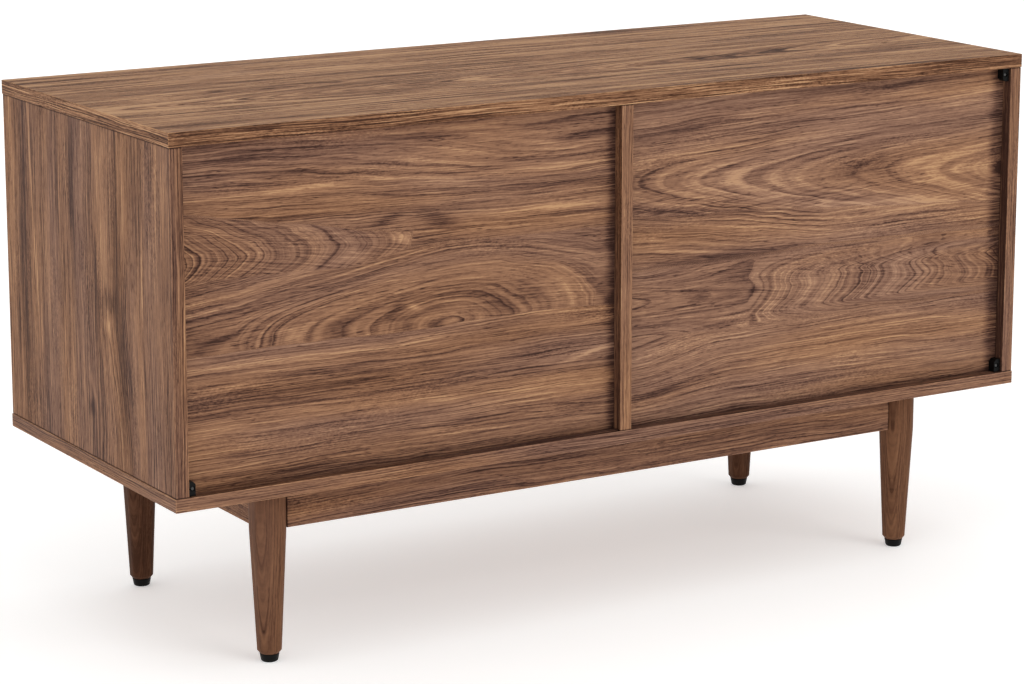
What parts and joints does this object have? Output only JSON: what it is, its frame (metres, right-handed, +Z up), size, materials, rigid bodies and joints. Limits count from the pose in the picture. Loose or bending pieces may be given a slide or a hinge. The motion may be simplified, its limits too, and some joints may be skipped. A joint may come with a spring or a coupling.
{
  "type": "sideboard cabinet",
  "caption": "Low walnut storage cabinet with hinged doors over shelved bays, a recessed panelled back with a centre stile, and a railed base on tapered legs.",
  "frame": {"origin": "on the floor under the middle of the case", "axes": "+Z up; +X to the right as seen from the front; the doors face -Y and the finished back faces +Y"},
  "size_m": [1.2, 0.465, 0.643],
  "materials": {
    "case_walnut": "satin walnut-grain laminate, greyish brown with darker streaks",
    "door_walnut": "satin walnut-grain laminate, the same as the case",
    "base_walnut": "satin stained walnut, fine straight grain along each piece",
    "black_plastic": "fine-textured black moulding",
    "white_nylon": "natural off-white nylon",
    "black_steel": "blackened screw steel",
    "steel": "bright zinc-plated steel"
  },
  "bodies": {
    "case": {"back_clip_lower_left": "black_plastic", "back_clip_lower_right": "black_plastic", "back_clip_screw_lower_left": "black_steel", "back_clip_screw_lower_right": "black_steel", "back_clip_screw_upper_left": "black_steel", "back_clip_upper_left": "black_plastic", "bottom_panel": "case_walnut", "centre_partition": "case_walnut", "corner_block_front_left": "base_walnut", "corner_block_front_right": "base_walnut", "corner_block_rear_left": "base_walnut", "corner_block_rear_right": "base_walnut", "front_rail": "base_walnut", "glide_front_left": "black_plastic", "glide_front_right": "black_plastic", "glide_rear_left": "black_plastic", "glide_rear_right": "black_plastic", "hinge_pin_lower_left": "steel", "hinge_pin_lower_right": "steel", "hinge_pin_upper_left": "steel", "hinge_pin_upper_right": "steel", "left_back_panel": "case_walnut", "left_catch": "black_plastic", "left_rail": "base_walnut", "left_shelf": "case_walnut", "left_side_panel": "case_walnut", "leg_front_left": "base_walnut", "leg_front_right": "base_walnut", "leg_rear_left": "base_walnut", "leg_rear_right": "base_walnut", "rear_rail": "base_walnut", "right_back_panel": "case_walnut", "right_catch": "black_plastic", "right_rail": "base_walnut", "right_shelf": "case_walnut", "right_side_panel": "case_walnut", "shelf_pin_left_front_inner": "steel", "shelf_pin_left_front_outer": "steel", "shelf_pin_left_rear_inner": "steel", "shelf_pin_left_rear_outer": "steel", "shelf_pin_right_front_inner": "steel", "shelf_pin_right_front_outer": "steel", "shelf_pin_right_rear_inner": "steel", "shelf_pin_right_rear_outer": "steel", "top_panel": "case_walnut"},
    "left_door": {"left_door": "door_walnut", "left_knob": "base_walnut", "left_knob_screw": "steel", "left_strike_plate": "steel", "hinge_bush_lower_left": "white_nylon", "hinge_bush_upper_left": "white_nylon"},
    "right_door": {"right_door": "door_walnut", "right_knob": "base_walnut", "right_knob_screw": "steel", "right_strike_plate": "steel", "hinge_bush_lower_right": "white_nylon", "hinge_bush_upper_right": "white_nylon"}
  },
  "joints": [
    {"name": "left_door_hinge", "type": "hinge", "parent": "case", "child": "left_door", "pos_m": [-0.5685, -0.21, 0.427], "axis": [0, 0, -1], "range_deg": [0, 100]},
    {"name": "right_door_hinge", "type": "hinge", "parent": "case", "child": "right_door", "pos_m": [0.5685, -0.21, 0.427], "axis": [0, 0, 1], "range_deg": [0, 100]}
  ]
}
